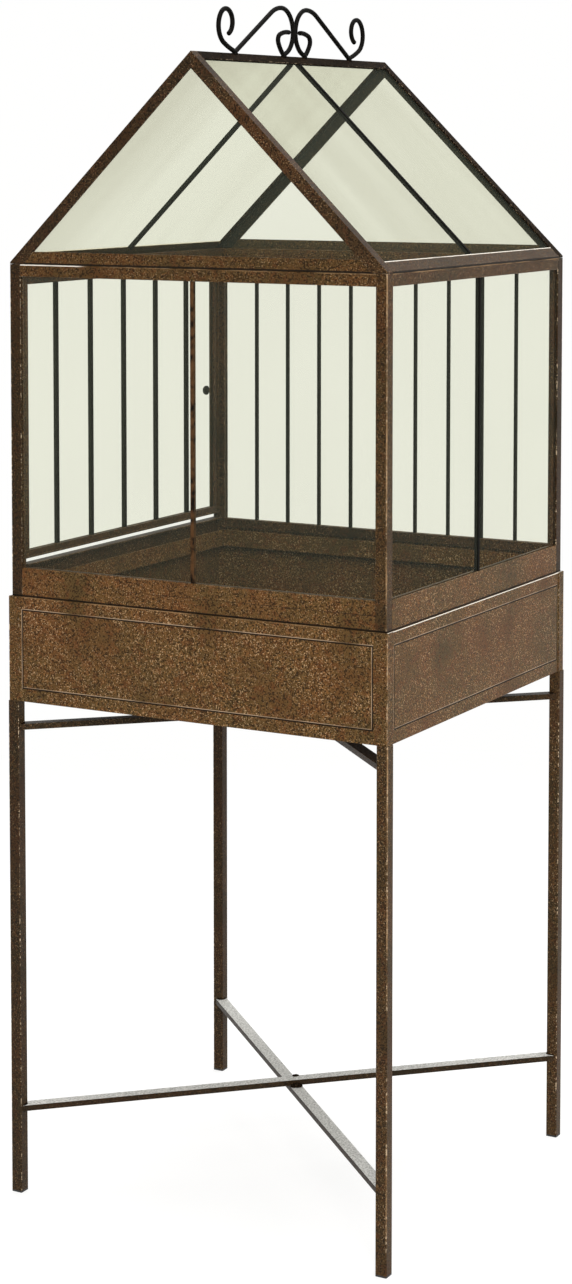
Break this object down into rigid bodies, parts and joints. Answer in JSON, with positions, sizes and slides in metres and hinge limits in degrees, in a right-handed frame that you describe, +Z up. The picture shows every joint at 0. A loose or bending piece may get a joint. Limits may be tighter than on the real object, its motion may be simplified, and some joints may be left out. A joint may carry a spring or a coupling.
{
  "type": "greenhouse",
  "caption": "Small glazed metal greenhouse for herbs on a tall stand, with a planting tray, a hinged glazed side door and a lift-off gabled glass roof crowned by a scrolled handle.",
  "frame": {"origin": "On the floor, under the middle of the stand", "axes": "+X to the right along the front gable, +Y from the front gable to the back, +Z up"},
  "size_m": [0.506, 0.484, 1.407],
  "materials": {
    "rust_paint": "speckled rust brown paint, satin, with fine tan flecks",
    "dark_rust_paint": "the same speckled paint, darker and more worn",
    "black_paint": "satin black paint",
    "glass": "clear window glass",
    "steel": "plain zinc-plated steel",
    "black_plastic": "matt moulded plastic",
    "felt": "pressed dark felt"
  },
  "bodies": {
    "stand": {"leg_front_left": "rust_paint", "leg_front_right": "rust_paint", "leg_back_left": "rust_paint", "leg_back_right": "rust_paint", "foot_caps": "black_plastic", "leg_top_plugs": "black_plastic", "upper_brace_lower_bar": "rust_paint", "upper_brace_upper_bar": "rust_paint", "lower_stretcher_lower_bar": "rust_paint", "lower_stretcher_upper_bar": "rust_paint", "tray_floor": "rust_paint", "tray_front_wall": "rust_paint", "tray_back_wall": "rust_paint", "tray_left_wall": "rust_paint", "tray_right_wall": "rust_paint", "tray_corner_angles": "rust_paint", "tray_screws": "steel"},
    "case": {"post_front_left": "rust_paint", "post_front_right": "rust_paint", "post_back_left": "rust_paint", "post_back_right": "rust_paint", "bottom_rail_front": "rust_paint", "bottom_rail_back": "rust_paint", "bottom_rail_left": "rust_paint", "bottom_rail_right": "rust_paint", "top_rail_front": "rust_paint", "top_rail_back": "rust_paint", "top_rail_left": "rust_paint", "top_rail_right": "rust_paint", "glazing_corner_bars": "dark_rust_paint", "glazing_strips": "dark_rust_paint", "front_panes": "glass", "right_panes": "glass", "back_panes": "glass", "front_bars": "black_paint", "right_bars": "black_paint", "back_bars": "black_paint", "door_sill": "dark_rust_paint", "door_catch": "black_paint", "hinge_post_leaves": "dark_rust_paint", "hinge_pins": "steel"},
    "door": {"door_stiles": "rust_paint", "door_rails": "rust_paint", "door_panes": "glass", "door_bars": "black_paint", "door_beads": "dark_rust_paint", "door_knob": "black_paint", "hinge_door_leaves": "dark_rust_paint"},
    "roof": {"gable_rails": "rust_paint", "eave_rail_left": "rust_paint", "eave_rail_right": "rust_paint", "rafters_front": "dark_rust_paint", "rafters_back": "dark_rust_paint", "ridge_cap": "dark_rust_paint", "slope_panes_left": "glass", "slope_panes_right": "glass", "slope_bars": "black_paint", "gable_panes": "glass", "scrolls": "black_paint", "roof_pads": "felt"}
  },
  "joints": [
    {"name": "case_lift", "type": "slide", "parent": "stand", "child": "case", "axis": [0, 0, 1], "range_m": [0, 0.15]},
    {"name": "roof_lift", "type": "slide", "parent": "case", "child": "roof", "axis": [0, 0, 1], "range_m": [0, 0.2]},
    {"name": "door_hinge", "type": "hinge", "parent": "case", "child": "door", "pos_m": [-0.2488, -0.22325, 0.92375], "axis": [0, 0, 1], "range_deg": [0, 170]}
  ]
}
